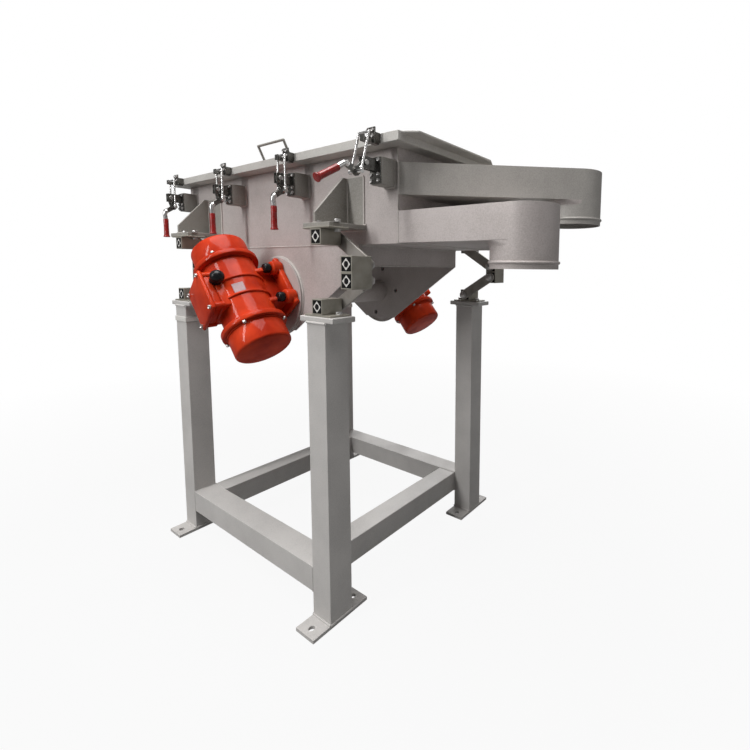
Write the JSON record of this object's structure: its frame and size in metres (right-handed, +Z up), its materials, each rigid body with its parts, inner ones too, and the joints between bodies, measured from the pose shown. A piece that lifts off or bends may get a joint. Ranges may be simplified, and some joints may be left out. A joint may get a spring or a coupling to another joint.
{
  "type": "linear vibrating screen",
  "caption": "Screening box with a clamped lid and side-by-side discharge spouts, driven by flange motors, on oscillating rubber mounts and a leg stand.",
  "frame": {"origin": "on the floor at the centre of the four legs", "axes": "+X towards the discharge spouts, +Z up, -Y is the side with the hinged latch levers"},
  "size_m": [1.276, 0.7394, 1.092],
  "materials": {
    "stand_paint": "satin silver-grey paint",
    "mount_metal": "dull zinc",
    "mount_rubber": "matt",
    "box_steel": "bead-blasted stainless",
    "screen_mesh": "woven wire",
    "motor_paint": "glossy orange-red",
    "latch_chrome": "bright"
  },
  "bodies": {
    "frame": {"leg_front_near": "stand_paint", "leg_front_far": "stand_paint", "leg_rear_near": "stand_paint", "leg_rear_far": "stand_paint", "foot_plates": "stand_paint", "cap_plates": "stand_paint", "leg_collars": "stand_paint", "side_beams": "stand_paint", "cross_beams": "stand_paint", "mount_housings": "mount_metal", "mount_arms": "mount_metal", "mount_cores": "mount_metal", "mount_flanges": "mount_metal", "mount_rubbers": "mount_rubber", "lid_gasket": "mount_rubber", "mount_brackets": "box_steel", "side_walls": "box_steel", "feed_end_wall": "box_steel", "discharge_end_wall": "box_steel", "bottom_pan": "box_steel", "deck_rails": "box_steel", "rim_flange": "box_steel", "side_webs": "box_steel", "cross_stiffeners": "box_steel", "motor_discs": "box_steel", "motor_cross_tube": "box_steel", "lid_panel": "box_steel", "inlet_collar": "box_steel", "lid_handles": "box_steel", "upper_spout": "box_steel", "lower_spout": "box_steel", "latch_standoffs": "box_steel", "deck_screen": "screen_mesh", "motor_near": "motor_paint", "motor_far": "motor_paint", "motor_caps": "motor_paint", "terminal_boxes": "motor_paint", "latch_bases": "latch_chrome", "lid_catches": "latch_chrome", "far_latch_levers": "latch_chrome", "far_latch_bows": "latch_chrome"},
    "lever_1": {"latch_lever_1": "latch_chrome"},
    "bow_1": {"latch_bow_1": "latch_chrome"},
    "lever_2": {"latch_lever_2": "latch_chrome"},
    "bow_2": {"latch_bow_2": "latch_chrome"},
    "lever_3": {"latch_lever_3": "latch_chrome"},
    "bow_3": {"latch_bow_3": "latch_chrome"},
    "lever_4": {"latch_lever_4": "latch_chrome"},
    "bow_4": {"latch_bow_4": "latch_chrome"}
  },
  "joints": [
    {"name": "lever_1_turn", "type": "hinge", "parent": "frame", "child": "lever_1", "pos_m": [0.409, -0.258, 0.9937], "axis": [-1, 0, 0], "range_deg": [-60, 40]},
    {"name": "bow_1_turn", "type": "hinge", "parent": "lever_1", "child": "bow_1", "pos_m": [0.409, -0.27799, 0.97292], "axis": [-1, 0, 0], "range_deg": [-30, 45]},
    {"name": "lever_2_turn", "type": "hinge", "parent": "frame", "child": "lever_2", "pos_m": [0.123, -0.258, 0.9937], "axis": [-1, 0, 0], "range_deg": [0, 100]},
    {"name": "bow_2_turn", "type": "hinge", "parent": "lever_2", "child": "bow_2", "pos_m": [0.123, -0.25, 0.966], "axis": [-1, 0, 0], "range_deg": [-75, 0]},
    {"name": "lever_3_turn", "type": "hinge", "parent": "frame", "child": "lever_3", "pos_m": [-0.163, -0.258, 0.9937], "axis": [-1, 0, 0], "range_deg": [0, 100]},
    {"name": "bow_3_turn", "type": "hinge", "parent": "lever_3", "child": "bow_3", "pos_m": [-0.163, -0.25, 0.966], "axis": [-1, 0, 0], "range_deg": [-75, 0]},
    {"name": "lever_4_turn", "type": "hinge", "parent": "frame", "child": "lever_4", "pos_m": [-0.449, -0.258, 0.9937], "axis": [-1, 0, 0], "range_deg": [0, 100]},
    {"name": "bow_4_turn", "type": "hinge", "parent": "lever_4", "child": "bow_4", "pos_m": [-0.449, -0.25, 0.966], "axis": [-1, 0, 0], "range_deg": [-75, 0]}
  ],
  "couplings": [
    {"joint": "bow_1_turn", "follows": "lever_1_turn", "ratio": -0.75},
    {"joint": "bow_2_turn", "follows": "lever_2_turn", "ratio": -0.75},
    {"joint": "bow_3_turn", "follows": "lever_3_turn", "ratio": -0.75},
    {"joint": "bow_4_turn", "follows": "lever_4_turn", "ratio": -0.75}
  ]
}
